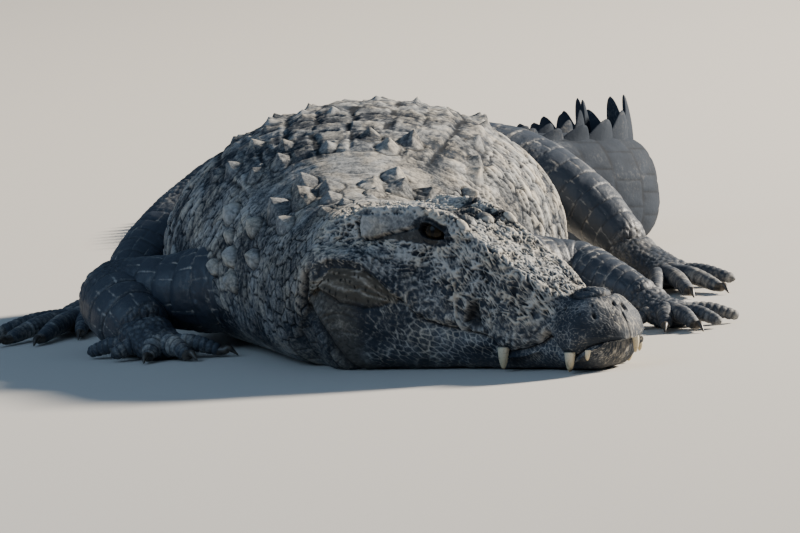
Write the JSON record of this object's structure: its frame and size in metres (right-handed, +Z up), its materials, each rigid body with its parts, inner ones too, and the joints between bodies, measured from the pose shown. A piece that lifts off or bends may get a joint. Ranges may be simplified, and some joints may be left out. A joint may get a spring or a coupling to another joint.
{
  "type": "mugger crocodile",
  "caption": "Life-size mugger crocodile lying on its belly with its head flat, legs splayed and tail bent aside, with back scutes and a double tail crest.",
  "frame": {"origin": "on the flat of the belly, at the middle of the trunk, at floor level", "axes": "+Z up from the floor, +X towards the snout, +Y towards the animal's left side"},
  "size_m": [3.0821, 1.2805, 0.3707],
  "materials": {
    "skin": "grey scaled hide with dried pale mud on the raised scales",
    "limb_skin": "dark slate hide, damp, with pale seams between the bands of scales",
    "horn": "dark horn claws, smooth and slightly worn",
    "eye": "wet dark brown eyeball with a slit pupil"
  },
  "bodies": {
    "root": {"neck": "skin", "shoulders": "skin", "torso": "skin", "hips": "skin", "tail_1": "skin", "tail_2": "skin", "tail_3": "skin", "tail_4": "skin", "tail_5": "skin", "tail_6": "skin", "head": "skin", "lower_jaw": "skin", "eye_right": "eye", "eye_left": "eye", "upper_arm_right": "limb_skin", "forearm_right": "limb_skin", "hand_right": "limb_skin", "upper_arm_left": "limb_skin", "forearm_left": "limb_skin", "hand_left": "limb_skin", "thigh_right": "limb_skin", "shank_right": "limb_skin", "foot_right": "limb_skin", "thigh_left": "limb_skin", "shank_left": "limb_skin", "foot_left": "limb_skin", "claw_hand_right_1": "horn", "claw_hand_right_2": "horn", "claw_hand_right_3": "horn", "claw_hand_left_1": "horn", "claw_hand_left_2": "horn", "claw_hand_left_3": "horn", "claw_foot_right_1": "horn", "claw_foot_right_2": "horn", "claw_foot_right_3": "horn", "claw_foot_left_1": "horn", "claw_foot_left_2": "horn", "claw_foot_left_3": "horn"}
  },
  "joints": []
}
